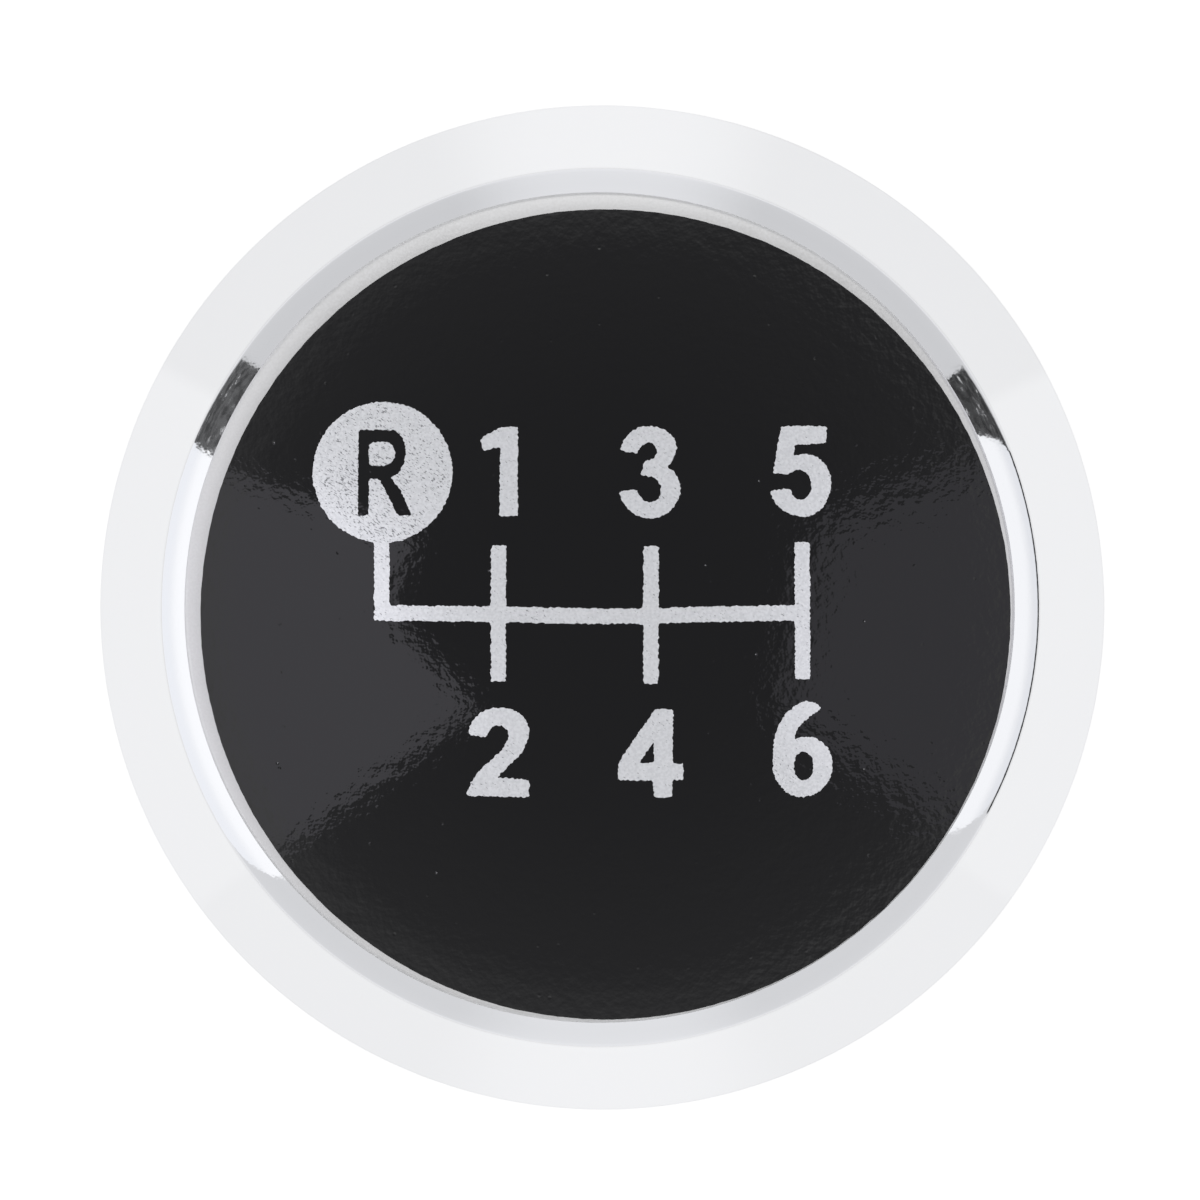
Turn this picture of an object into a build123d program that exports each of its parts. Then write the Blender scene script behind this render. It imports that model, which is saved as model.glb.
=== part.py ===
from build123d import *
import os
from math import degrees, radians, sin, sqrt, tan

# Gear shift knob cap: a plated moulding that presses into the top of a knob and carries
# a domed, printed badge disc. Millimetres, +Z out of the face, +Y towards the top of the
# shift pattern, origin at the centre of the flat ring that seats on the knob.

# Rim seen from above, from the outside inwards
cap_diameter = 36.0
skirt_width = 2.35
bevel_width = 0.8

# Rim seen from the side
rim_height = 0.6
skirt_slope = 54.0
bevel_slope = 35.0
rim_edge_break = 0.15
shoulder_edge_radius = 0.9
mouth_edge_break = 0.05

# Moulded wall, measured square to the faces
wall = 1.5

# Badge disc in its recess
badge_dome_radius = 48.0
badge_thickness = 0.6
badge_side_clearance = 0.03
badge_sink = 0.05
badge_edge_break = 0.03

# Double-sided pad under the badge
pad_thickness = 0.25
pad_inset = 0.6

# Locating spigot that drops into the knob's socket
rim_overhang = 4.0
spigot_depth = 2.4
spigot_wall = 1.2
spigot_lead_in = 0.4
spigot_root_relief = 0.2

# Notch in the spigot that keeps the pattern upright
notch_width = 3.0
notch_height = 1.2
notch_corner_radius = 0.4

# Snap legs
leg_count = 4
leg_first_angle = 45.0
leg_gap = 0.9
leg_thickness = 1.2
leg_width = 5.6
leg_reach = 7.0
leg_edge_break = 0.15
leg_haunch = 0.8
hook_reach = 1.0
hook_lead_in_height = 1.8
hook_land = 0.5
hook_catch_angle = 35.0
hook_tip_width = 0.9

# Stiffening gussets between the legs
gusset_count = 4
gusset_first_angle = 0.0
gusset_thickness = 1.0
gusset_length = 2.6
gusset_height = 2.0

# Turn of the revolved wall, so that its seam lies between a gusset and a leg
seam_angle = 20.0

# Radii and heights that follow
cap_radius = cap_diameter / 2
shoulder_radius = cap_radius - skirt_width
mouth_radius = shoulder_radius - bevel_width
shoulder_height = rim_height + skirt_width * tan(radians(skirt_slope))
mouth_height = shoulder_height + bevel_width * tan(radians(bevel_slope))
badge_radius = mouth_radius - badge_side_clearance
pad_radius = badge_radius - pad_inset
spigot_radius = cap_radius - rim_overhang
spigot_root_radius = spigot_radius - spigot_root_relief
spigot_bore_radius = spigot_radius - spigot_wall
leg_outer_radius = spigot_bore_radius - leg_gap
leg_inner_radius = leg_outer_radius - leg_thickness
leg_arc = degrees(leg_width / leg_outer_radius)

# The badge, the pad, the recess floor and the hollow below it are spheres about one centre
badge_under_radius = badge_dome_radius - badge_thickness
floor_dome_radius = badge_under_radius - pad_thickness
hollow_dome_radius = floor_dome_radius - wall
badge_edge_height = mouth_height - badge_sink
dome_centre = badge_edge_height - sqrt(badge_dome_radius**2 - badge_radius**2)


def dome_height(sphere_radius, radius):
    return dome_centre + sqrt(sphere_radius**2 - radius**2)


# The groove under the skirt keeps the wall even: its slope runs beside the skirt
skirt_foot_radius = cap_radius + rim_height / tan(radians(skirt_slope))
seat_inner_radius = skirt_foot_radius - wall / sin(radians(skirt_slope))
groove_roof = dome_height(floor_dome_radius, spigot_radius) - wall
groove_outer_radius = seat_inner_radius - groove_roof / tan(radians(skirt_slope))


def ball(sphere_radius):
    # The poles point along Y, well away from the slices that are used
    return Pos(0, 0, dome_centre) * Rot(90, 0, 0) * Sphere(sphere_radius)


def post(radius, bottom, top):
    return Pos(0, 0, (bottom + top) / 2) * Cylinder(radius, top - bottom)


def dome_slice(outer_sphere, inner_sphere, edge_radius):
    top = dome_height(outer_sphere, 0) + wall
    return (ball(outer_sphere) - ball(inner_sphere)) & post(edge_radius, 0, top)


def corner(section, radius, height):
    return section.vertices().sort_by_distance((radius, height, 0))[0]


def make_shell():
    # Domed recess floor, its edge set into the bevel's wall, and domed hollow inside the spigot
    top = dome_height(floor_dome_radius, 0) + wall
    floor = ball(floor_dome_radius) & post(mouth_radius + bevel_width / 2, groove_roof + wall / 4, top)
    hollow = ball(hollow_dome_radius) & post(spigot_bore_radius, -spigot_depth - wall, top)
    # Rim, skirt and spigot are turned about the axis with a flat-bottomed recess
    recess_height = groove_roof + wall / 2
    with BuildPart() as shell:
        with BuildSketch(Plane.XZ) as section:
            with BuildLine():
                Polyline(
                    (0, recess_height),
                    (mouth_radius, recess_height),
                    (mouth_radius, mouth_height),
                    (shoulder_radius, shoulder_height),
                    (cap_radius, rim_height),
                    (cap_radius, 0),
                    (seat_inner_radius, 0),
                    (groove_outer_radius, groove_roof),
                    (spigot_root_radius, groove_roof),
                    (spigot_root_radius, 0),
                    (spigot_radius, 0),
                    (spigot_radius, spigot_lead_in - spigot_depth),
                    (spigot_radius - spigot_lead_in, -spigot_depth),
                    (0, -spigot_depth),
                    close=True,
                )
            make_face()
            chamfer(corner(section, cap_radius, rim_height), rim_edge_break)
            fillet(corner(section, shoulder_radius, shoulder_height), shoulder_edge_radius)
            chamfer(corner(section, mouth_radius, mouth_height), mouth_edge_break)
        revolve(axis=Axis.Z)
        add(floor)
        add(hollow, mode=Mode.SUBTRACT)
    return shell.part.rotate(Axis.Z, seam_angle)


def make_leg():
    # Section of one leg, rooted in the middle of the wall above it
    root_height = dome_height(hollow_dome_radius, leg_outer_radius) + wall / 2
    haunch_height = dome_height(hollow_dome_radius, leg_inner_radius) - leg_haunch
    haunch_radius = leg_inner_radius - (root_height - haunch_height)
    hook_radius = leg_outer_radius + hook_reach
    land_low = hook_lead_in_height - leg_reach
    land_high = land_low + hook_land
    catch_high = land_high + hook_reach * tan(radians(hook_catch_angle))
    with BuildPart() as leg:
        with BuildSketch(Plane.XZ):
            with BuildLine():
                Polyline(
                    (haunch_radius, root_height),
                    (leg_inner_radius, haunch_height),
                    (leg_inner_radius, -leg_reach),
                    (leg_inner_radius + hook_tip_width, -leg_reach),
                    (hook_radius, land_low),
                    (hook_radius, land_high),
                    (leg_outer_radius, catch_high),
                    (leg_outer_radius, root_height),
                    close=True,
                )
            make_face()
        revolve(axis=Axis.Z, revolution_arc=leg_arc)
        sides = leg.faces().filter_by(GeomType.PLANE).filter_by(Axis.Z, reverse=True)
        chamfer(sides.edges(), leg_edge_break)
    return leg.part.rotate(Axis.Z, -leg_arc / 2)


def make_gusset():
    # Triangle in the corner of the spigot and the hollow, its ends run on into both walls
    toe_radius = spigot_bore_radius - gusset_length
    corner_height = dome_height(hollow_dome_radius, spigot_bore_radius)
    toe_height = dome_height(hollow_dome_radius, toe_radius)
    slope = (toe_height - corner_height + gusset_height) / gusset_length
    heel_radius = spigot_bore_radius + spigot_wall / 2
    heel_height = corner_height - gusset_height - slope * spigot_wall / 2
    with BuildPart() as gusset:
        with BuildSketch(Plane.XZ):
            with BuildLine():
                Polyline(
                    (toe_radius - wall / 2 / slope, toe_height + wall / 2),
                    (heel_radius, heel_height),
                    (heel_radius, corner_height + wall / 2),
                    close=True,
                )
            make_face()
        extrude(amount=gusset_thickness / 2, both=True)
    return gusset.part


def make_notch():
    # Cutter for the notch, on the side below the shift pattern
    notch_top = notch_height - spigot_depth
    with BuildPart() as notch:
        with BuildSketch(Plane.XZ) as section:
            Rectangle(notch_width, 2 * notch_height)
            fillet(section.vertices().group_by(Axis.Y)[-1], notch_corner_radius)
        extrude(amount=spigot_radius + spigot_wall)
        Cylinder(spigot_radius - 2 * spigot_wall, 4 * notch_height, mode=Mode.SUBTRACT)
    return notch.part.translate((0, 0, notch_top - notch_height))


def make_cap_body():
    shell = make_shell()
    leg = make_leg()
    gusset = make_gusset()
    notch = make_notch()
    with BuildPart() as body:
        add(shell)
        with PolarLocations(0, leg_count, start_angle=leg_first_angle):
            add(leg)
        with PolarLocations(0, gusset_count, start_angle=gusset_first_angle):
            add(gusset)
        add(notch, mode=Mode.SUBTRACT)
    return body.part


def make_badge_disc():
    disc = dome_slice(badge_dome_radius, badge_under_radius, badge_radius)
    rim_edge = disc.edges().filter_by(GeomType.CIRCLE).sort_by(Axis.Z)[-1]
    return chamfer(rim_edge, badge_edge_break)


def make_adhesive_pad():
    return dome_slice(badge_under_radius, floor_dome_radius, pad_radius)


pieces = {
    "cap_body": make_cap_body(),
    "badge_disc": make_badge_disc(),
    "adhesive_pad": make_adhesive_pad(),
}

os.makedirs("parts", exist_ok=True)
for name, piece in pieces.items():
    export_step(piece, f"parts/{name}.step")
    print(name, round(piece.volume, 2), piece.bounding_box())
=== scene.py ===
import bpy
import math
from mathutils import Matrix, Vector
from mathutils.geometry import intersect_line_line


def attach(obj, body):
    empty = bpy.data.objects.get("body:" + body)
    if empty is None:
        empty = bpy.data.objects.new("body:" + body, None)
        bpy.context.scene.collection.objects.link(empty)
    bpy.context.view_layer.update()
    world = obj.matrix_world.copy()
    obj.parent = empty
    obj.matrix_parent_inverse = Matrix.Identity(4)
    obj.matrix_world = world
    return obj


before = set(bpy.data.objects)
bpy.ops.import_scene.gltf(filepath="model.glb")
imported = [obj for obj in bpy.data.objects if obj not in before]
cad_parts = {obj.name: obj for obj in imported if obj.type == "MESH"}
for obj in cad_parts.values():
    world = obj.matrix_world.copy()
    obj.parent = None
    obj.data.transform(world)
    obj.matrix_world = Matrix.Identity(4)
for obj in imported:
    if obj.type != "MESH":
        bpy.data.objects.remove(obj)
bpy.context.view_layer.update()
mm = 0.001  # the sizes below are millimetres, Blender works in metres
print("frame loaded:", sorted(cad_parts))

view = bpy.context.scene.view_settings
view.view_transform = "Standard"


white = (1.0, 1.0, 1.0, 1.0)
mostNoise = (0.3, 0.7)  # nearly all of a noise lies between these


def placed(name, data):
    made = bpy.data.objects.new(name, data)
    bpy.context.collection.objects.link(made)
    return made


def feed(tree, node, feeds):  # a socket is named, or counted among those in use
    shown = [socket for socket in node.inputs if socket.enabled]
    for key, value in feeds.items():
        socket = shown[key] if isinstance(key, int) else node.inputs[key]
        if isinstance(value, bpy.types.NodeSocket):
            tree.links.new(value, socket)
        else:
            socket.default_value = value


def put(tree, kind, settings=None, feeds=None):
    made = tree.nodes.new(kind)
    for name, value in (settings or {}).items():
        setattr(made, name, value)
    feed(tree, made, feeds or {})
    return made


def calc(tree, operation, *values):
    return put(tree, "ShaderNodeMath", {"operation": operation}, dict(enumerate(values))).outputs[0]


def calcVector(tree, operation, *values):  # a length or a dot product comes as a number
    made = put(tree, "ShaderNodeVectorMath", {"operation": operation}, dict(enumerate(values)))
    return made.outputs["Value" if operation in ("LENGTH", "DOT_PRODUCT") else "Vector"]


def allOf(tree, *values):
    result = values[0]
    for value in values[1:]:
        result = calc(tree, "MULTIPLY", result, value)
    return result


def rise(tree, value, low, high, toLow=0.0, toHigh=1.0):  # smooth step from low to high
    feeds = {0: value, 1: low, 2: high, 3: toLow, 4: toHigh}
    return put(tree, "ShaderNodeMapRange", {"interpolation_type": "SMOOTHSTEP"}, feeds).outputs[0]


def mixNumber(tree, factor, a, b):
    return put(tree, "ShaderNodeMix", {"data_type": "FLOAT"}, {0: factor, 1: a, 2: b}).outputs[0]


def mixColour(tree, factor, a, b):
    return put(tree, "ShaderNodeMix", {"data_type": "RGBA"}, {0: factor, 1: a, 2: b}).outputs[2]


def mixShader(tree, factor, a, b):
    return put(tree, "ShaderNodeMixShader", None, {0: factor, 1: a, 2: b}).outputs[0]


def axesOf(tree, vector):
    return list(put(tree, "ShaderNodeSeparateXYZ", None, {0: vector}).outputs)


def vectorOf(tree, x, y, z):
    return put(tree, "ShaderNodeCombineXYZ", None, {0: x, 1: y, 2: z}).outputs[0]


def reachFrom(tree, spot, centre):  # distance from the upright line through a centre given in mm
    away = calcVector(tree, "SUBTRACT", spot, tuple(Vector(centre) * mm))
    return calcVector(tree, "LENGTH", calcVector(tree, "MULTIPLY", away, (1.0, 1.0, 0.0)))


def noise(tree, vector, size, detail=2.0):  # size is the width of one blotch in mm
    feeds = {"Vector": vector, "Scale": 1 / (size * mm), "Detail": detail}
    return put(tree, "ShaderNodeTexNoise", None, feeds).outputs["Fac"]


def relief(tree, spot, lengthAndDepth, detail=1.0):  # both in mm, the result in metres
    length, depth = lengthAndDepth
    return calc(tree, "MULTIPLY", noise(tree, spot, length, detail), depth * mm)


def bumpFrom(tree, height):
    return put(tree, "ShaderNodeBump", None, {"Strength": 1.0, "Distance": 1.0, "Height": height}).outputs[0]


def bareMaterial(name):
    made = bpy.data.materials.new(name)
    made.use_nodes = True
    made.node_tree.nodes.clear()
    return made, made.node_tree


def newMaterial(name):
    made, tree = bareMaterial(name)
    shader = put(tree, "ShaderNodeBsdfPrincipled")
    put(tree, "ShaderNodeOutputMaterial", None, {"Surface": shader.outputs[0]})
    return made, tree, shader, put(tree, "ShaderNodeTexCoord").outputs


def grey(level):
    return (level, level, level, 1.0)


chrome = {
    "bright": (0.90, 0.905, 0.915, 1.0),
    "inside": (0.66, 0.66, 0.655, 1.0),
    "brightRoughness": (0.03, 0.055),
    "insideRoughness": (0.28, 0.34),
    "showFrom": (14.55, 14.65),  # the bright face lies outside this radius
    "showFacing": (-0.25, -0.15),  # and looks up or outwards
    "blotch": 0.7,
    "wave": (2.5, 0.005),  # length and depth of the faint swell in the plating
    "ripple": (0.2, 0.001),
    "sparkGrain": (0.13, 0.003),  # on the dull inside
}


def makeChrome(look):
    made, tree, shader, place = newMaterial("brightPlating")
    spot = place["Object"]
    start, end = look["showFrom"]
    show = allOf(tree, rise(tree, reachFrom(tree, spot, (0.0, 0.0, 0.0)), start * mm, end * mm),
                 rise(tree, axesOf(tree, place["Normal"])[2], *look["showFacing"]))
    blotch = noise(tree, spot, look["blotch"], 3.0)
    bright = rise(tree, blotch, *mostNoise, *look["brightRoughness"])
    inside = rise(tree, blotch, *mostNoise, *look["insideRoughness"])
    smooth = calc(tree, "ADD", relief(tree, spot, look["wave"]), relief(tree, spot, look["ripple"]))
    grain = allOf(tree, relief(tree, spot, look["sparkGrain"], 2.0), calc(tree, "SUBTRACT", 1.0, show))
    feed(tree, shader, {"Base Color": mixColour(tree, show, look["inside"], look["bright"]),
                        "Roughness": mixNumber(tree, show, inside, bright), "Metallic": 1.0,
                        "Normal": bumpFrom(tree, calc(tree, "ADD", smooth, grain))})
    return made


printCentre = (0.215, -0.247, 0.0)  # the print sits a little to the right of and below the disc's middle

satin = {
    "light": (0.93, 0.93, 0.935, 1.0),
    "dark": (0.875, 0.875, 0.88, 1.0),
    "roughness": (0.30, 0.38),
    "grain": (0.09, 0.0006),
    "paintedShade": (14.3, 14.9, 0.83),  # painted shade: radii about the print where this painted shade is deepest and where it has faded out, and its least share
}


def makeSatin(look):
    made, tree, shader, place = newMaterial("satinAluminium")
    size, depth = look["grain"]
    grain = noise(tree, place["Object"], size, 3.0)
    bare = mixColour(tree, rise(tree, grain, *mostNoise), look["dark"], look["light"])
    # painted shade: the margin's colour is darkened towards the print, standing in for the shade that falls
    # beside the print's edge
    start, end, share = look["paintedShade"]
    level = rise(tree, reachFrom(tree, place["Object"], printCentre), start * mm, end * mm, share, 1.0)
    feed(tree, shader, {"Base Color": calcVector(tree, "SCALE", bare, level),
                        "Roughness": rise(tree, grain, *mostNoise, *look["roughness"]), "Metallic": 1.0,
                        "Normal": bumpFrom(tree, calc(tree, "MULTIPLY", grain, depth * mm))})
    return made


lacquer = {
    "black": (0.0027, 0.0027, 0.0038, 1.0),
    "dust": (0.2, 0.2, 0.21, 1.0),
    "film": 2.0,
    "roughness": (0.03, 0.055),
    "ior": 1.5,
    "peel": (0.5, 0.0055),  # length and depth of the orange peel
    "peelFine": (0.17, 0.0028),
    "peelMore": (2.0, 9.0, 2.1),  # the peel grows to the right, from here to there, to this share
    "dustSpacing": 1.9,
    "dustEdge": (0.016, 0.008),  # outside and inside of a speck's edge, as shares of the spacing
    "bareDust": 0.93,  # specks that rank above this show, the others are under the lacquer
    "nib": (0.042, 0.013),  # nibs and pits in the lacquer: share of the spacing, height
    "nibsAbove": 0.5,  # nibs rank above this, pits below it
}


def makeLacquer(look):
    made, tree, shader, place = newMaterial("blackLacquer")
    spot = place["Object"]
    feeds = {"Vector": spot, "Scale": 1 / (look["dustSpacing"] * mm)}
    cells = put(tree, "ShaderNodeTexVoronoi", {"voronoi_dimensions": "2D"}, feeds).outputs
    rank = put(tree, "ShaderNodeSeparateColor", None, {0: cells["Color"]}).outputs[0]
    speck = allOf(tree, rise(tree, cells["Distance"], *look["dustEdge"]),
                  calc(tree, "GREATER_THAN", rank, look["bareDust"]))
    start, end, share = look["peelMore"]
    more = rise(tree, axesOf(tree, spot)[0], start * mm, end * mm, 1.0, share)
    peel = calc(tree, "ADD", relief(tree, spot, look["peel"]), relief(tree, spot, look["peelFine"]))
    size, height = look["nib"]
    nib = allOf(tree, rise(tree, cells["Distance"], size, 0.0, 0.0, height * mm),
                calc(tree, "SUBTRACT", rank, look["nibsAbove"]))
    film = noise(tree, spot, look["film"], 3.0)
    feed(tree, shader, {"Base Color": mixColour(tree, speck, look["black"], look["dust"]),
                        "Roughness": rise(tree, film, *mostNoise, *look["roughness"]), "IOR": look["ior"],
                        "Normal": bumpFrom(tree, calc(tree, "ADD", allOf(tree, peel, more), nib))})
    return made


ink = {
    "light": (0.93, 0.94, 0.97, 1.0),
    "shade": (0.81, 0.82, 0.85, 1.0),
    "pit": (0.3, 0.305, 0.32, 1.0),
    "metallic": 0.38,
    "roughness": (0.17, 0.24),
    "grain": (0.1, 0.004),
    "grainEnds": (0.32, 0.68),  # grain that is all shade and all light
    "pitTurn": math.radians(35),
    "pitSize": (0.12, 0.045, 0.08),
    "pitEnds": (0.75, 0.84),
    "pitFields": (1.6, 0.16),  # the pits crowd in fields: width, how much more
    "worn": (-7.65, 4.79, 0.0),  # and about this place
    "wornMore": (2.6, 2.21, 0.08),  # from here inwards to there, how much more
}


def makeInk(look):
    made, tree, shader, place = newMaterial("silverInk")
    spot = place["Object"]
    turned = put(tree, "ShaderNodeMapping", None, {"Vector": spot, "Rotation": (0, 0, look["pitTurn"])})
    laid = calcVector(tree, "MULTIPLY", turned.outputs[0], tuple(1 / (size * mm) for size in look["pitSize"]))
    feeds = {"Vector": laid, "Scale": 1.0, "Detail": 1.0}
    pits = put(tree, "ShaderNodeTexNoise", None, feeds).outputs["Fac"]
    width, more = look["pitFields"]
    fields = calc(tree, "MULTIPLY", noise(tree, spot, width, 1.0), more)
    start, end, more = look["wornMore"]
    worn = rise(tree, reachFrom(tree, spot, look["worn"]), start * mm, end * mm, 0.0, more)
    crowd = calc(tree, "ADD", pits, calc(tree, "ADD", fields, worn))
    size, depth = look["grain"]
    grain = noise(tree, spot, size)
    cloud = mixColour(tree, rise(tree, grain, *look["grainEnds"]), look["shade"], look["light"])
    pitted = rise(tree, crowd, *look["pitEnds"])
    feed(tree, shader, {"Base Color": mixColour(tree, pitted, cloud, look["pit"]),
                        "Roughness": rise(tree, grain, *mostNoise, *look["roughness"]),
                        "Metallic": look["metallic"],
                        "Normal": bumpFrom(tree, calc(tree, "MULTIPLY", grain, depth * mm))})
    return made


foam = {
    "light": (0.78, 0.77, 0.73, 1.0),
    "dark": (0.60, 0.59, 0.55, 1.0),
    "cell": (0.12, 0.02),
    "cellEnds": (0.35, 0.65),
    "roughness": 0.9,
}


def makeFoam(look):
    made, tree, shader, place = newMaterial("foamPad")
    size, depth = look["cell"]
    cells = noise(tree, place["Object"], size)
    colour = mixColour(tree, rise(tree, cells, *look["cellEnds"]), look["dark"], look["light"])
    feed(tree, shader, {"Base Color": colour, "Roughness": look["roughness"],
                        "Normal": bumpFrom(tree, calc(tree, "MULTIPLY", cells, depth * mm))})
    return made


brightPlating = makeChrome(chrome)
satinAluminium = makeSatin(satin)
blackLacquer = makeLacquer(lacquer)
silverInk = makeInk(ink)
foamPad = makeFoam(foam)
finishes = {"cap_body": brightPlating, "badge_disc": satinAluminium, "adhesive_pad": foamPad}
for nodeName, finish in finishes.items():
    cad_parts[nodeName].data.materials.clear()
    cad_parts[nodeName].data.materials.append(finish)
print("finishes made")


sharpFrom = math.radians(40)
weldGap = 0.0005  # mm
sameSpot = 0.000001
domeInputs = {"Dome Radius": "Float", "Dome Centre": "Float", "Centre": "Vector", "Thickness": "Float"}


def newTree(name, inputs):
    tree = bpy.data.node_groups.new(name, "GeometryNodeTree")
    tree.interface.new_socket("Geometry", in_out="OUTPUT", socket_type="NodeSocketGeometry")
    tree.interface.new_socket("Geometry", in_out="INPUT", socket_type="NodeSocketGeometry")
    for label, kind in {**inputs, "Material": "Material"}.items():
        tree.interface.new_socket(label, in_out="INPUT", socket_type="NodeSocket" + kind)
    return tree, put(tree, "NodeGroupInput").outputs, put(tree, "NodeGroupOutput")


def step(tree, kind, settings=None, feeds=None):  # a node whose first output goes on
    return put(tree, "GeometryNode" + kind, settings, feeds).outputs[0]


def roughEdge(tree, spot, size, seed, detail):  # seeded noise, its size in mm
    feeds = {"Vector": spot, "W": seed, "Scale": calc(tree, "DIVIDE", 1.0, size), "Detail": detail}
    return put(tree, "ShaderNodeTexNoise", {"noise_dimensions": "4D"}, feeds).outputs


def finished(tree, geometry, given):  # from millimetres to metres, real and with its finish
    sized = step(tree, "Transform", None, {"Geometry": geometry, "Scale": (mm, mm, mm)})
    real = step(tree, "RealizeInstances", None, {"Geometry": sized})
    return step(tree, "SetMaterial", None, {"Geometry": real, "Material": given["Material"]})


def ontoDome(tree, flatSpot, domeRadius, domeCentre):
    x, y = axesOf(tree, flatSpot)[:2]
    inside = calc(tree, "SUBTRACT", calc(tree, "MULTIPLY", domeRadius, domeRadius),
                  calc(tree, "ADD", calc(tree, "MULTIPLY", x, x), calc(tree, "MULTIPLY", y, y)))
    return vectorOf(tree, x, y, calc(tree, "ADD", domeCentre, calc(tree, "SQRT", inside)))


def closedLayer(tree, flatSkin, given):  # drapes a flat skin over the dome and gives it a thickness
    moved = calcVector(tree, "ADD", step(tree, "InputPosition"), given["Centre"])
    domed = ontoDome(tree, moved, given["Dome Radius"], given["Dome Centre"])
    under = step(tree, "SetPosition", None, {"Geometry": flatSkin, "Position": domed})
    lift = vectorOf(tree, 0.0, 0.0, given["Thickness"])
    feeds = {"Mesh": under, "Offset": lift, "Offset Scale": 1.0, "Individual": False}
    over = step(tree, "ExtrudeMesh", {"mode": "FACES"}, feeds)
    joined = put(tree, "GeometryNodeJoinGeometry")
    tree.links.new(over, joined.inputs[0])
    tree.links.new(step(tree, "FlipFaces", None, {"Mesh": under}), joined.inputs[0])
    welded = step(tree, "MergeByDistance", None, {"Geometry": joined.outputs[0], "Distance": weldGap})
    return finished(tree, welded, given)


def bakePiece(name, source, tree, values):
    modifier = source.modifiers.new(tree.name, "NODES")
    modifier.node_group = tree
    for socket in tree.interface.items_tree:
        if socket.item_type == "SOCKET" and socket.in_out == "INPUT" and socket.name in values:
            modifier[socket.identifier] = values[socket.name]
    shown = source.evaluated_get(bpy.context.evaluated_depsgraph_get())
    mesh = bpy.data.meshes.new_from_object(shown)
    mesh.name = name
    source.modifiers.remove(modifier)
    bpy.data.objects.remove(source)
    for face in mesh.polygons:
        face.use_smooth = True
    mesh.set_sharp_from_angle(angle=sharpFrom)
    print(name, "triangles:", sum(len(face.vertices) - 2 for face in mesh.polygons))
    return placed(name, mesh)


plating = {
    "rimRadius": 18.0,
    "rimHeight": 0.6,
    "skirt": (2.35, 54.0),  # width seen from above and slope
    "bevel": (0.893, 35.0),  # ends in a fine lip over the disc's rim
    "crown": 3.0,  # the bevel is steeper by this at its outer third and flatter at its inner third
    "foot": 0.02,
    "lip": 0.13,  # down into the disc
    "proud": 0.012,  # how far the skin stands on the moulding and how deep it is rooted
    "rooted": 0.06,
    "rounding": {"rim": 0.4, "shoulder": 1.6, "mouth": 0.005},
    "flatsFrom": 0.006,  # a point this far outside each rounding keeps the flats flat
    "segments": 720,
    "steps": 12,
}


def platingLine(look):  # rim wall, skirt, bevel and mouth wall as (radius and height, rounding)
    skirtWidth, skirtSlope = look["skirt"]
    bevelWidth, bevelSlope = look["bevel"]
    third, crown, rounding = bevelWidth / 3, look["crown"], look["rounding"]
    radius, height = look["rimRadius"], look["rimHeight"]
    line = [((radius, look["foot"]), None), ((radius, height), rounding["rim"])]
    courses = [(skirtWidth, skirtSlope, rounding["shoulder"]), (third, bevelSlope + crown, None),
               (third, bevelSlope, None), (third, bevelSlope - crown, rounding["mouth"])]
    for width, slope, cornerRadius in courses:
        radius, height = radius - width, height + width * math.tan(math.radians(slope))
        line.append(((radius, height), cornerRadius))
    line.append(((radius, height - look["lip"]), None))
    return [(Vector(corner).to_3d(), cornerRadius) for corner, cornerRadius in line]


def besideLine(points, distance):  # the same line moved sideways, away from the moulding
    moved = []
    for start, end in zip(points, points[1:]):
        way = (end - start).normalized()
        side = Vector((way.y, -way.x, 0.0)) * distance
        moved.append((start + side, end + side))
    corners = [moved[0][0]]
    for before, after in zip(moved, moved[1:]):
        corners.append(intersect_line_line(*before, *after)[0])
    return corners + [moved[-1][1]]


def platingSection(look):  # closed outline of the skin as (point, rounding)
    places, roundings = zip(*platingLine(look))
    outside = besideLine(places, look["proud"])
    section = []
    for index, (corner, radius) in enumerate(zip(outside, roundings)):
        if radius is None:
            section.append((corner, 0.0))
            continue
        before, after = outside[index - 1] - corner, outside[index + 1] - corner
        turn = math.pi - before.angle(after)
        reach = radius * math.tan(turn / 2) + look["flatsFrom"]
        section += [(corner + before.normalized() * reach, 0.0), (corner, radius),
                    (corner + after.normalized() * reach, 0.0)]
    return section + [(point, 0.0) for point in reversed(besideLine(places, -look["rooted"]))]


def makePlatingTree():
    tree, given, out = newTree("platingLathe", {"Rim Radius": "Float", "Segments": "Int", "Steps": "Int"})
    feeds = {"Curve": given["Geometry"], "Count": given["Steps"], "Radius": step(tree, "InputRadius")}
    section = step(tree, "FilletCurve", {"mode": "POLY"}, feeds)
    feeds = {"Resolution": given["Segments"], "Radius": given["Rim Radius"]}
    ring = step(tree, "CurvePrimitiveCircle", {"mode": "RADIUS"}, feeds)
    upright = step(tree, "SetCurveNormal", {"mode": "Z_UP"}, {"Curve": ring})
    turned = step(tree, "CurveToMesh", None, {"Curve": upright, "Profile Curve": section})
    tree.links.new(finished(tree, turned, given), out.inputs[0])
    return tree


def makePlatedFace(look):
    curve = bpy.data.curves.new("platingSource", "CURVE")
    curve.dimensions = "3D"
    section = platingSection(look)
    spline = curve.splines.new("POLY")
    spline.points.add(len(section) - 1)
    spline.use_cyclic_u = True
    for knot, (place, radius) in zip(spline.points, section):
        knot.co = (place.x - look["rimRadius"], -place.y, 0.0, 1.0)
        knot.radius = radius
    values = {"Rim Radius": look["rimRadius"], "Segments": look["segments"], "Steps": look["steps"],
              "Material": brightPlating}
    return bakePiece("plated_face", placed("platingSource", curve), makePlatingTree(), values)


dome = {
    "radius": 48.0,
    "edge": (14.82, 4.3447),  # radius and height of the disc's rim
}
dome["centre"] = dome["edge"][1] - math.sqrt(dome["radius"] ** 2 - dome["edge"][0] ** 2)


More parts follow.
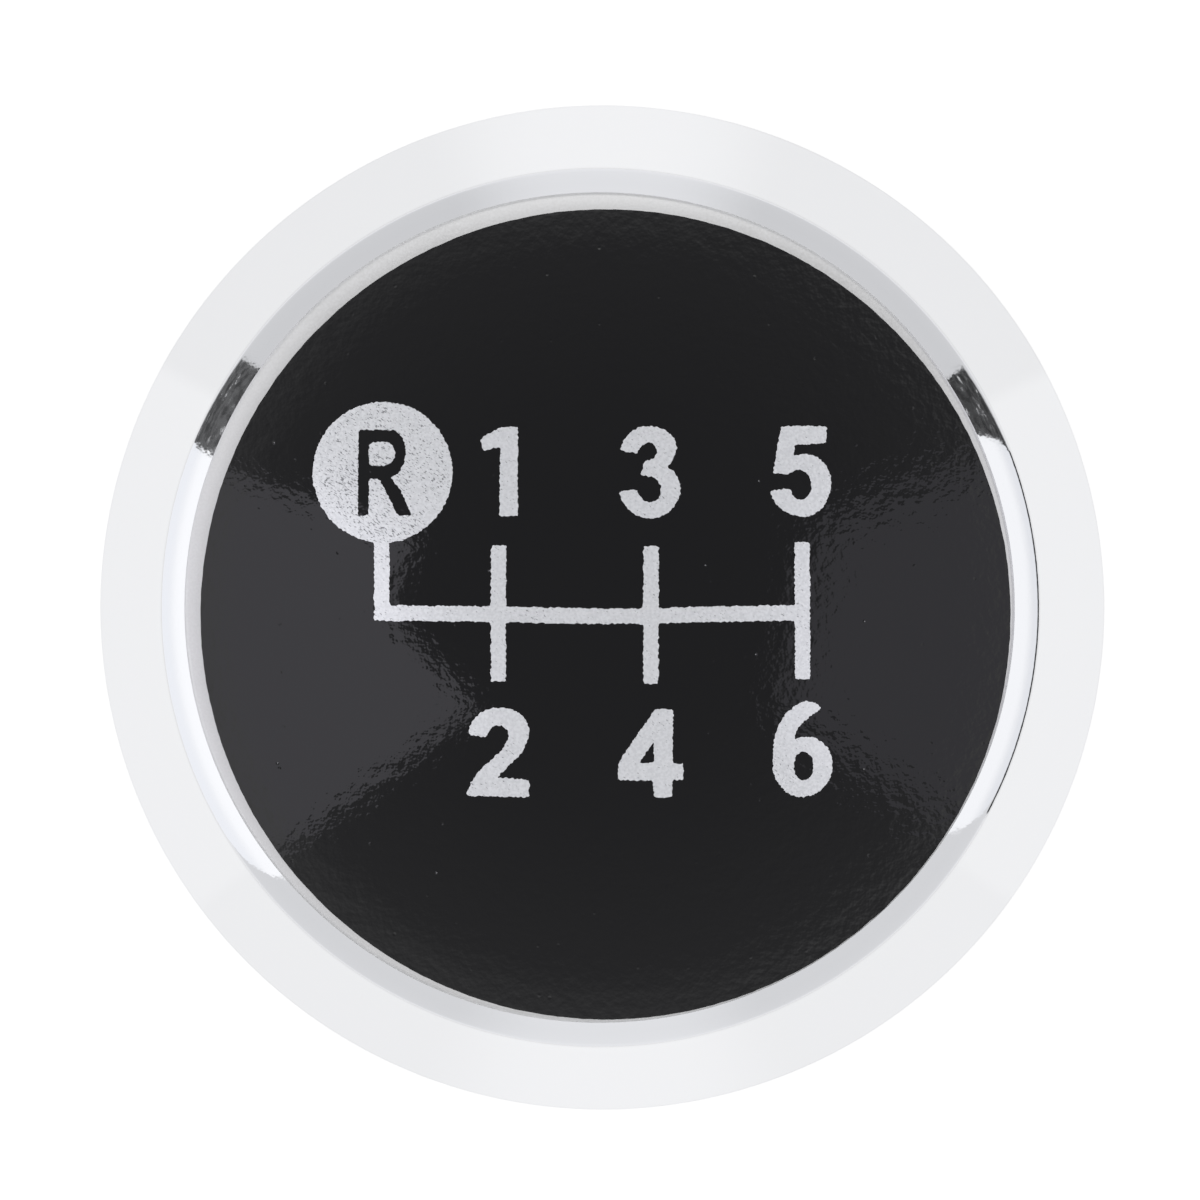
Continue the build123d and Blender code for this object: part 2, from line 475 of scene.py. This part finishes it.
def domeValues(lift, look):  # what every layer on the disc needs, lifted off it by this
    return {"Dome Radius": dome["radius"] + lift, "Dome Centre": dome["centre"], "Centre": printCentre,
            "Thickness": look["thickness"], "Rag": look["rag"], "Rag Size": look["ragSize"],
            "Seed": look["seed"]}


lacquerDisc = {
    "radius": 14.39,
    "thickness": 0.03,
    "segments": 900,
    "rings": 20,
    "rag": 0.025,
    "ragSize": 0.35,
    "ragFrom": 0.9,  # share of the radius where the edge's raggedness begins
    "seamGap": 0.001,
    "seed": 3.0,
}


def makeLacquerTree(look):
    inputs = {**domeInputs, "Radius": "Float", "Segments": "Int", "Rings": "Int",
              "Rag": "Float", "Rag Size": "Float", "Seed": "Float"}
    tree, given, out = newTree("lacquerCoat", inputs)
    feeds = {"Size X": 1.0, "Size Y": 1.0, "Vertices X": calc(tree, "ADD", given["Segments"], 1.0),
             "Vertices Y": given["Rings"]}
    sheet = step(tree, "MeshGrid", None, feeds)
    x, y = axesOf(tree, step(tree, "InputPosition"))[:2]
    turn = calc(tree, "MULTIPLY", calc(tree, "ADD", x, 0.5), -2 * math.pi)  # the sheet is rolled into a disc
    reach = calc(tree, "ADD", y, 0.5)
    way = vectorOf(tree, calc(tree, "COSINE", turn), calc(tree, "SINE", turn), 0.0)
    rim = calcVector(tree, "SCALE", way, given["Radius"])
    uneven = roughEdge(tree, rim, given["Rag Size"], given["Seed"], 1.0)["Fac"]
    swing = allOf(tree, calc(tree, "SUBTRACT", uneven, 0.5), calc(tree, "MULTIPLY", given["Rag"], 2.0),
                  rise(tree, reach, look["ragFrom"], 1.0))
    length = calc(tree, "ADD", calc(tree, "MULTIPLY", reach, given["Radius"]), swing)
    feeds = {"Geometry": sheet, "Position": calcVector(tree, "SCALE", way, length)}
    disc = step(tree, "SetPosition", None, feeds)
    disc = step(tree, "MergeByDistance", None, {"Geometry": disc, "Distance": look["seamGap"]})
    tree.links.new(closedLayer(tree, disc, given), out.inputs[0])
    return tree


def makeLacquerDisc(look):
    source = placed("lacquerSource", bpy.data.meshes.new("lacquerSource"))
    values = {**domeValues(0.0, look), "Radius": look["radius"], "Segments": look["segments"],
              "Rings": look["rings"], "Material": blackLacquer}
    return bakePiece("lacquer_disc", source, makeLacquerTree(look), values)


# The shift pattern in mm about the print's centre, x to the right and y up. An outline starts at its
# first point. Two numbers run straight to a point, four bend round a corner to a point.
shiftPattern = {
    "reverseDisc": (-7.865, 5.038, 2.497),  # centre and radius
    "reverseStem": (-8.15, -7.604),  # left and right side
    "barHalf": 0.273,
    "barCourse": [(-9.0, 0.066), (-3.73, 0.01), (-1.0, -0.053), (1.5, -0.062), (3.1, -0.004),
                  (8.0, 0.082)],  # its middle line
    "gateHalf": 0.267,
    "gates": [((-3.721, 2.452), (-3.744, -2.374)), ((1.667, 2.415), (1.663, -2.457)),
              ((7.001, 2.563), (7.024, -2.296))],  # middle of top and foot
    "numerals": [  # 1, 3, 5, 2, 4 and its hole, 6 and its hole
        [(-4.4, 6.215), (-3.679, 6.619), (-3.057, 6.648), (-3.047, 3.469), (-3.699, 3.469), (-3.679, 5.94),
         (-4.261, 5.772)],
        [(0.57, 5.795), (0.71, 6.673, 1.57, 6.673), (2.55, 6.673, 2.55, 5.915), (2.55, 5.506, 2.22, 5.217),
         (2.68, 5.007, 2.7, 4.458), (2.7, 3.401, 1.62, 3.401), (0.71, 3.401, 0.53, 4.348), (1.15, 4.428),
         (1.29, 3.959, 1.62, 3.959), (2.02, 3.959, 2.02, 4.428), (2.0, 4.877, 1.59, 4.877), (1.3, 4.897),
         (1.42, 5.426), (1.54, 5.436), (1.85, 5.446, 1.87, 5.755), (1.87, 6.075, 1.59, 6.075),
         (1.29, 6.075, 1.18, 5.686)],
        [(6.251, 6.668), (7.864, 6.678), (7.854, 6.058), (6.739, 6.008), (6.689, 5.597),
         (6.858, 5.678, 7.107, 5.678), (8.023, 5.678, 8.023, 4.657), (8.023, 3.466, 7.028, 3.466),
         (6.012, 3.466, 5.883, 4.376), (6.56, 4.467), (6.649, 4.046, 6.968, 4.046),
         (7.326, 4.046, 7.326, 4.577), (7.326, 5.127, 6.888, 5.127), (6.669, 5.127, 6.5, 4.937),
         (5.972, 5.007)],
        [(-4.812, -4.254), (-4.761, -3.291, -3.718, -3.291), (-2.656, -3.291, -2.656, -4.085),
         (-2.656, -4.601, -3.064, -5.058), (-3.81, -5.763), (-2.656, -5.852), (-2.656, -6.467),
         (-4.883, -6.418), (-4.791, -5.921, -4.311, -5.425), (-3.718, -4.869),
         (-3.381, -4.551, -3.381, -4.254), (-3.381, -3.916, -3.739, -3.916),
         (-4.107, -3.916, -4.168, -4.343)],
        [(1.814, -3.331), (2.438, -3.351), (2.428, -5.261), (2.798, -5.261), (2.798, -5.855), (2.409, -5.855),
         (2.409, -6.469), (1.766, -6.469), (1.746, -5.875), (0.499, -5.865), (0.489, -5.38),
         (0.499, -5.222, 0.714, -4.925)],
        [(1.756, -4.499), (1.766, -5.261), (1.23, -5.261)],
        [(7.126, -3.054), (7.438, -3.074, 7.688, -3.292), (7.026, -3.809), (6.815, -3.998, 6.725, -4.436),
         (6.916, -4.327, 7.187, -4.327), (8.07, -4.327, 8.07, -5.291), (8.07, -6.465, 6.996, -6.465),
         (5.962, -6.465, 5.952, -5.271), (5.972, -4.774), (6.013, -3.392, 7.126, -3.054)],
        [(7.056, -4.844), (7.397, -4.844, 7.397, -5.371), (7.397, -5.878, 7.056, -5.878),
         (6.705, -5.878, 6.705, -5.371), (6.705, -4.844, 7.056, -4.844)],
    ],
    "reverseLetter": [  # R and its hole
        [(-8.727, 6.546), (-7.57, 6.536), (-7.043, 6.525, -7.033, 5.747), (-7.043, 4.98, -7.58, 4.869),
         (-7.26, 4.464), (-6.806, 3.495), (-7.312, 3.495), (-7.942, 4.747), (-7.993, 4.808, -8.1, 4.808),
         (-8.345, 4.808), (-8.36, 3.495), (-8.737, 3.495)],
        [(-8.345, 6.086), (-7.735, 6.106), (-7.41, 6.106, -7.41, 5.692), (-7.41, 5.273, -7.921, 5.263),
         (-8.345, 5.273)],
    ],
    "thickness": 0.02,
    "curveSteps": 24,
    "spacing": 0.049,
    "softCorners": 2,
    "splits": 2,
    "rag": 0.012,
    "ragSize": 0.3,
    "meshRag": 0.058,  # small teeth across the edges, as a printing screen leaves them
    "meshPitch": 0.09,
    "seed": 7.0,
}


def barMiddle(look, x):  # height of the bar's middle line
    knots = look["barCourse"]
    for (left, low), (right, high) in zip(knots, knots[1:]):
        if x <= right:
            return low + (high - low) * (x - left) / (right - left)


def discOutline(look):  # the reverse disc, from the right side of its stem round to the left side
    cx, cy, radius = look["reverseDisc"]
    left, right = look["reverseStem"]
    start = math.asin((right - cx) / radius) - math.pi / 2
    end = 1.5 * math.pi + math.asin((left - cx) / radius)
    points = [(cx + radius * math.cos(start), cy + radius * math.sin(start))]
    arcs = 4
    turn = (end - start) / arcs
    reach = radius / math.cos(turn / 2)
    for arc in range(arcs):
        middle, finish = start + turn * (arc + 0.5), start + turn * (arc + 1)
        points.append((cx + reach * math.cos(middle), cy + reach * math.sin(middle),
                       cx + radius * math.cos(finish), cy + radius * math.sin(finish)))
    return points


def gateOutline(look):  # the reverse disc, its stem and the gate as one outline
    left, right = look["reverseStem"]
    half, gates = look["gateHalf"], look["gates"]

    def onBar(x, side):
        return (x, barMiddle(look, x) + side * look["barHalf"])

    def edge(end, side):  # bar and gate ends from the stem to the last gate, on one side of the bar
        path = [onBar(left if side < 0 else right, side)]
        for number, gate in enumerate(gates):
            tip, middle = gate[end], (gate[0][0] + gate[1][0]) / 2
            path += [onBar(middle - half, side), (tip[0] - half, tip[1]), (tip[0] + half, tip[1])]
            if number + 1 < len(gates):  # the last gate closes the bar's end
                after = (gates[number + 1][0][0] + gates[number + 1][1][0]) / 2
                bends = [x for x, y in look["barCourse"] if middle + half < x < after - half]
                path += [onBar(x, side) for x in [middle + half] + bends]
        return path

    return discOutline(look) + edge(1, -1.0) + edge(0, 1.0)[::-1]


def addOutline(curve, points, steps):
    knots = [Vector(point[-2:]).to_3d() for point in points]
    bends = [Vector(point[:2]).to_3d() if len(point) == 4 else None for point in points]
    if (knots[0] - knots[-1]).length < sameSpot:  # the last bend comes back to the start
        bends[0] = bends.pop()
        knots.pop()
    spline = curve.splines.new("BEZIER")
    spline.bezier_points.add(len(knots) - 1)
    spline.use_cyclic_u = True
    spline.resolution_u = steps
    for knot, point in zip(knots, spline.bezier_points):
        point.handle_left_type = point.handle_right_type = "FREE"
        point.co = knot
    for index, bend in enumerate(bends):
        before, after = spline.bezier_points[index - 1], spline.bezier_points[index]
        if bend is None:
            before.handle_right = before.co.lerp(after.co, 1 / 3)
            after.handle_left = after.co.lerp(before.co, 1 / 3)
            continue
        turn = math.pi - (before.co - bend).angle(after.co - bend)
        pull = 4 / 3 * math.tan(turn / 4) / math.tan(turn / 2)  # follows a circle's arc
        before.handle_right = before.co.lerp(bend, pull)
        after.handle_left = after.co.lerp(bend, pull)


def makePrintTree(look):
    inputs = {**domeInputs, "Spacing": "Float", "Soft Corners": "Int", "Rag": "Float", "Rag Size": "Float",
              "Mesh Rag": "Float", "Mesh Pitch": "Float", "Seed": "Float"}
    tree, given, out = newTree("printOnDome", inputs)
    feeds = {"Curve": given["Geometry"], "Length": given["Spacing"]}
    line = step(tree, "ResampleCurve", {"mode": "LENGTH"}, feeds)
    spot = step(tree, "InputPosition")
    feeds = {0: spot, "Iterations": given["Soft Corners"]}
    blur = put(tree, "GeometryNodeBlurAttribute", {"data_type": "FLOAT_VECTOR"}, feeds)
    softened = [socket for socket in blur.outputs if socket.enabled][0]
    line = step(tree, "SetPosition", None, {"Geometry": line, "Position": softened})
    cloud = roughEdge(tree, spot, given["Rag Size"], given["Seed"], 1.0)["Color"]
    swing = calcVector(tree, "SUBTRACT", cloud, (0.5, 0.5, 0.5))
    swing = calcVector(tree, "SCALE", calcVector(tree, "MULTIPLY", swing, (2.0, 2.0, 0.0)), given["Rag"])
    across = calcVector(tree, "CROSS_PRODUCT", step(tree, "InputTangent"), (0.0, 0.0, 1.0))
    teeth = roughEdge(tree, spot, given["Mesh Pitch"], given["Seed"], 0.0)["Fac"]
    bite = allOf(tree, calc(tree, "SUBTRACT", teeth, 0.5), 2.0, given["Mesh Rag"])
    swing = calcVector(tree, "ADD", swing, calcVector(tree, "SCALE", across, bite))
    line = step(tree, "SetPosition", None, {"Geometry": line, "Offset": swing})
    skin = step(tree, "FillCurve", {"mode": "TRIANGLES"}, {"Curve": line})
    skin = step(tree, "SubdivideMesh", None, {"Mesh": skin, "Level": look["splits"]})
    tree.links.new(closedLayer(tree, skin, given), out.inputs[0])
    return tree


def makeShiftPattern(look):
    curve = bpy.data.curves.new("patternSource", "CURVE")
    curve.dimensions = "3D"
    for points in [gateOutline(look)] + look["numerals"] + look["reverseLetter"]:
        addOutline(curve, points, look["curveSteps"])
    values = {**domeValues(lacquerDisc["thickness"], look), "Spacing": look["spacing"],
              "Soft Corners": look["softCorners"], "Mesh Rag": look["meshRag"],
              "Mesh Pitch": look["meshPitch"], "Material": silverInk}
    return bakePiece("shift_pattern", placed("patternSource", curve), makePrintTree(look), values)


dressed = {"plated_body": makePlatedFace(plating), "black_lacquer": makeLacquerDisc(lacquerDisc),
           "silver_print": makeShiftPattern(shiftPattern)}
for slotName, piece in dressed.items():
    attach(piece, "root")
print("rim plated and badge printed")


def compass(tree, x, y):  # squared distance from the middle, and 1 along y, -1 along x, 0 between them
    xx, yy = calc(tree, "MULTIPLY", x, x), calc(tree, "MULTIPLY", y, y)
    around = calc(tree, "ADD", xx, yy)
    return around, calc(tree, "DIVIDE", calc(tree, "SUBTRACT", yy, xx), around)


floorLook = {
    "level": -7.02,  # a hair under the leg tips
    "half": 1500.0,
    "colour": grey(0.42),
    "glow": 0.76,  # what the camera sees on top of the lit floor
    "sideGlow": 0.582,  # and what mirrors see to the left and right
    "sideEnds": (-0.73, 0.54),  # rise over run of the rays that bound the sides
    "sideSoft": 0.03,
    "slantGlow": (0.555, 0.53),  # between the axes, at the foot and at the top
    "slantSoft": 10.0,
    "straightGlow": 0.603,  # at the middle of foot and top
    "straightFrom": 0.7,
    "far": (70.0, 250.0, 0.8),  # the glow fades from here to there, to this share
}


def makeFloor(look):
    made, tree = bareMaterial("paleFloor")
    rays = put(tree, "ShaderNodeLightPath").outputs
    x, y = axesOf(tree, put(tree, "ShaderNodeTexCoord").outputs["Object"])[:2]
    around, straight = compass(tree, x, y)
    ray = calc(tree, "DIVIDE", y, calc(tree, "ABSOLUTE", x))
    (low, high), soft = look["sideEnds"], look["sideSoft"]
    inSides = allOf(tree, rise(tree, ray, low - soft, low + soft), rise(tree, ray, high + soft, high - soft))
    slant = rise(tree, y, -look["slantSoft"] * mm, look["slantSoft"] * mm, *look["slantGlow"])
    level = mixNumber(tree, rise(tree, straight, look["straightFrom"], 1.0), slant, look["straightGlow"])
    level = mixNumber(tree, inSides, level, look["sideGlow"])
    near, away, share = look["far"]
    fading = rise(tree, calc(tree, "SQRT", around), near * mm, away * mm, 1.0, share)
    mirrored = calc(tree, "MAXIMUM", rays["Is Glossy Ray"], rays["Is Transmission Ray"])
    extra = calc(tree, "ADD", calc(tree, "MULTIPLY", rays["Is Camera Ray"], look["glow"]),
                 allOf(tree, mirrored, level, fading))
    matt = put(tree, "ShaderNodeBsdfDiffuse", None, {"Color": look["colour"]}).outputs[0]
    glow = put(tree, "ShaderNodeEmission", None, {"Strength": extra}).outputs[0]
    both = put(tree, "ShaderNodeAddShader", None, {0: matt, 1: glow}).outputs[0]
    clear = put(tree, "ShaderNodeBsdfTransparent").outputs[0]  # from below it lets the underside show
    fromBelow = put(tree, "ShaderNodeNewGeometry").outputs["Backfacing"]
    put(tree, "ShaderNodeOutputMaterial", None, {"Surface": mixShader(tree, fromBelow, both, clear)})
    mesh = bpy.data.meshes.new("floor")
    half, height = look["half"] * mm, look["level"] * mm
    corners = [(-half, -half, height), (half, -half, height), (half, half, height), (-half, half, height)]
    mesh.from_pydata(corners, [], [(0, 1, 2, 3)])
    mesh.materials.append(made)
    floor = placed("floor", mesh)


# Directions in the studio: height is the z of the unit direction, angles turn about z from +x.
# In the lower half a box runs from one plane to another: angle, lean and shift. Overhead it runs from one
# angle to another, and outwards from any of its leaning edges: weights of x and y, their sum, softness.
# Its level is near overhead. In the lower half it goes through low between the heights lowEnds.
studio = {
    "split": 0.62,  # height between the lower half, which the rim mirrors, and the upper half over the disc
    "sweep": [(0.0, 0.89), (0.1, 0.87), (0.17, 0.85), (0.34, 0.83), (0.46, 0.84),
              (0.62, 0.7)],  # height and level
    "diagonal": {"share": (0.87, 0.8), "soft": 0.2, "to": 0.72, "fullFrom": 0.1},  # dimmer between the boxes
    "overhead": (0.37, 0.26),  # from the sweep's edge to the zenith
    "overheadFrom": 0.79,
    "frontShare": (1.16, 1.03),  # overhead at the pattern's foot and top
    "frontEnd": 0.5,
    "leftBox": {"from": (160.5, -0.042, 0.039), "to": (212.5, 0.367, -0.029), "over": (160.5, 216.3),
                "leans": [(-1.0, 0.45, 0.35, 0.008), (-1.0, -0.905, 0.352, 0.008)],
                "near": 1.18, "low": (1.0, 1.08), "lowEnds": (0.24, 0.37)},
    "rightBox": {"from": (-33.0, 0.417, -0.168), "to": (22.3, 0.193, -0.038), "over": (-33.0, 22.3),
                 "leans": [(1.0, -0.22, 0.289, 0.03)],
                 "near": 0.79, "low": (0.9, 1.02), "lowEnds": (0.24, 0.36)},
    "skyTint": (0.985, 0.99, 1.015, 1.0),
    "lowTint": (0.94, 0.955, 1.0, 1.0),  # foot of the boxes
    "lowTintEnds": (0.34, 0.2),
    "nearTint": (0.96, 0.945, 1.02, 1.0),  # the boxes overhead
    "nearTintSoft": 0.04,
    "ring": {"foot": 0.47, "footSoft": 0.03, "top": 0.785, "soft": 0.06,  # heights of a bright ring
             "level": 1.42, "mirrored": 1.05,  # for matt faces and for mirrors
             "straightTop": 1.75, "straightX": (0.22, 0.06), "straightY": (0.3, 0.5),
             "leftTop": 0.755, "inLeftBox": 0.2},
    "gap": {"to": 34.2, "foot": (-0.31, -0.23), "footSoft": 0.05, "lean": 0.78, "middle": 0.1,
            "level": (0.06, 0.13), "rightShare": 0.6, "streaks": 40.0, "streakEnds": (0.35, 0.6),
            "speck": 0.45, "speckEnds": (0.68, 0.72)},  # dark, between the upper slopes and the boxes
    "horizonGap": {"from": -28.6, "to": 21.6, "foot": -0.02, "top": 0.085, "soft": 0.015,
                   "level": 0.05},  # a dark slit at the right
    "crisp": 0.003,
    "below": 0.95,  # under the horizon
    "behind": 1.0,  # what the camera sees past the floor
}


def makeStudio(look):
    world = bpy.data.worlds.new("softStudio")
    bpy.context.scene.world = world
    world.use_nodes = True
    tree = world.node_tree
    tree.nodes.clear()
    rays = put(tree, "ShaderNodeLightPath").outputs
    way = put(tree, "ShaderNodeTexCoord").outputs["Generated"]
    x, y, z = axesOf(tree, way)
    absX = calc(tree, "ABSOLUTE", x)
    boxes = [look["leftBox"], look["rightBox"]]
    ring, crisp = look["ring"], look["crisp"]

    def along(*direction):
        return calcVector(tree, "DOT_PRODUCT", way, direction)

    def past(sign, degrees, lean=0.0, shift=0.0):  # 1 on the far side of a plane
        angle = math.radians(degrees)
        across = along(-math.sin(angle) * sign, math.cos(angle) * sign, lean)
        return rise(tree, across, -crisp - shift, crisp - shift)

    def sweepLight():
        sweep = put(tree, "ShaderNodeValToRGB", None, {0: z})
        ramp = sweep.color_ramp
        while len(ramp.elements) < len(look["sweep"]):
            ramp.elements.new(0.5)
        for element, (height, level) in zip(ramp.elements, look["sweep"]):
            element.position = height
            element.color = grey(level)
        diagonal = look["diagonal"]
        slant = rise(tree, y, -diagonal["soft"], diagonal["soft"], *diagonal["share"])
        share = mixNumber(tree, rise(tree, compass(tree, x, y)[1], diagonal["to"], 1.0), slant, 1.0)
        share = mixNumber(tree, rise(tree, z, 0.0, diagonal["fullFrom"]), 1.0, share)
        return calc(tree, "MULTIPLY", sweep.outputs[0], share)

    def withGap(light):
        gap = look["gap"]
        middle, soft, turn = (-gap["middle"], gap["middle"]), gap["footSoft"], math.radians(gap["to"])
        feeds = {"Vector": way, "Scale": gap["streaks"], "Detail": 1.0}
        streaks = put(tree, "ShaderNodeTexNoise", None, feeds).outputs["Fac"]
        dark = calc(tree, "MULTIPLY_ADD", rise(tree, streaks, *gap["streakEnds"], *gap["level"]),
                    rise(tree, x, *middle, 1.0, gap["rightShare"]),
                    rise(tree, streaks, *gap["speckEnds"], 0.0, gap["speck"]))
        beyond = calc(tree, "MULTIPLY_ADD", absX, math.sin(turn), calc(tree, "MULTIPLY", y, -math.cos(turn)))
        foot = calc(tree, "SUBTRACT", along(0.0, -gap["lean"], 1.0), rise(tree, x, *middle, *gap["foot"]))
        inGap = allOf(tree, rise(tree, beyond, -crisp, crisp), rise(tree, foot, -soft, soft),
                      rise(tree, y, 0.0, soft))
        return mixNumber(tree, inGap, light, dark)

    def withHorizonGap(light):
        gap = look["horizonGap"]
        foot, top, soft = gap["foot"], gap["top"], gap["soft"]
        inGap = allOf(tree, past(1.0, gap["from"]), past(-1.0, gap["to"]),
                      rise(tree, z, foot - soft, foot + soft), rise(tree, z, top + soft, top - soft))
        return mixNumber(tree, inGap, light, gap["level"])

    def withRing(light, inRing, mirrored, inLeftBox):
        mirrored = mixNumber(tree, inLeftBox, mirrored, ring["inLeftBox"])
        level = mixNumber(tree, rays["Is Glossy Ray"], ring["level"], mirrored)
        return mixNumber(tree, inRing, light, level)

    def lowerHalf():
        light = withGap(sweepLight())
        inBoxes = []
        for box in boxes:
            inBoxes.append(allOf(tree, past(1.0, *box["from"]), past(-1.0, *box["to"])))
            light = mixNumber(tree, inBoxes[-1], light, rise(tree, z, *box["lowEnds"], *box["low"]))
        inRing = rise(tree, z, ring["foot"] - ring["footSoft"], ring["foot"] + ring["footSoft"])
        light = withHorizonGap(withRing(light, inRing, ring["mirrored"], inBoxes[0]))
        tinted = allOf(tree, calc(tree, "MAXIMUM", *inBoxes), rise(tree, z, *look["lowTintEnds"]))
        return light, mixColour(tree, tinted, look["skyTint"], look["lowTint"])

    def upperHalf():
        light = calc(tree, "MULTIPLY", rise(tree, z, look["overheadFrom"], 1.0, *look["overhead"]),
                     rise(tree, y, -look["frontEnd"], look["frontEnd"], *look["frontShare"]))
        inBoxes = []
        for box in boxes:
            inside = 0.0
            for xShare, yShare, edge, soft in box["leans"]:
                beyond = rise(tree, along(xShare, yShare, 0.0), edge - soft, edge + soft)
                inside = calc(tree, "MAXIMUM", inside, beyond)
            start, end = box["over"]
            inBoxes.append(allOf(tree, past(1.0, start), past(-1.0, end), inside))
            light = mixNumber(tree, inBoxes[-1], light, box["near"])
        inTop = allOf(tree, rise(tree, absX, *ring["straightX"]), rise(tree, y, *ring["straightY"]))
        mirrored = mixNumber(tree, inTop, ring["mirrored"], ring["straightTop"])
        top = mixNumber(tree, inBoxes[0], ring["top"], ring["leftTop"])
        inRing = rise(tree, calc(tree, "SUBTRACT", z, top), ring["soft"], -ring["soft"])
        light = withRing(light, inRing, mirrored, inBoxes[0])
        tinted = allOf(tree, calc(tree, "MAXIMUM", *inBoxes),
                       rise(tree, z, ring["top"], ring["top"] + look["nearTintSoft"]))
        return light, mixColour(tree, tinted, white, look["nearTint"])

    def backdrop(level, colour=white):
        return put(tree, "ShaderNodeBackground", None, {"Color": colour, "Strength": level}).outputs[0]

    isUpper, isBelow = calc(tree, "GREATER_THAN", z, look["split"]), calc(tree, "LESS_THAN", z, 0.0)
    sky = mixShader(tree, isUpper, backdrop(*lowerHalf()), backdrop(*upperHalf()))
    sky = mixShader(tree, isBelow, sky, backdrop(look["below"]))
    seen = mixShader(tree, rays["Is Camera Ray"], sky, backdrop(look["behind"]))
    put(tree, "ShaderNodeOutputWorld", None, {"Surface": seen})


makeFloor(floorLook)
makeStudio(studio)
print("studio lit")


photoCamera = {
    "place": (9.7, 0.0, 420.0),
    "aim": (-0.079, 0.269, 0.0),
    "lens": 351.0,
    "sensor": 36.0,
    "clip": (10.0, 10000.0),
}


def makeCamera(look):
    data = bpy.data.cameras.new("photoCamera")
    data.sensor_width = look["sensor"]
    data.lens = look["lens"]
    data.clip_start, data.clip_end = (distance * mm for distance in look["clip"])
    camera = placed("photoCamera", data)
    place, aim = Vector(look["place"]) * mm, Vector(look["aim"]) * mm
    back = (place - aim).normalized()
    right = Vector((0, 1, 0)).cross(back).normalized()  # the pattern's top is the top of the picture
    camera.rotation_euler = Matrix((right, back.cross(right), back)).transposed().to_euler()
    camera.location = place
    bpy.context.scene.camera = camera


makeCamera(photoCamera)
print("camera set")
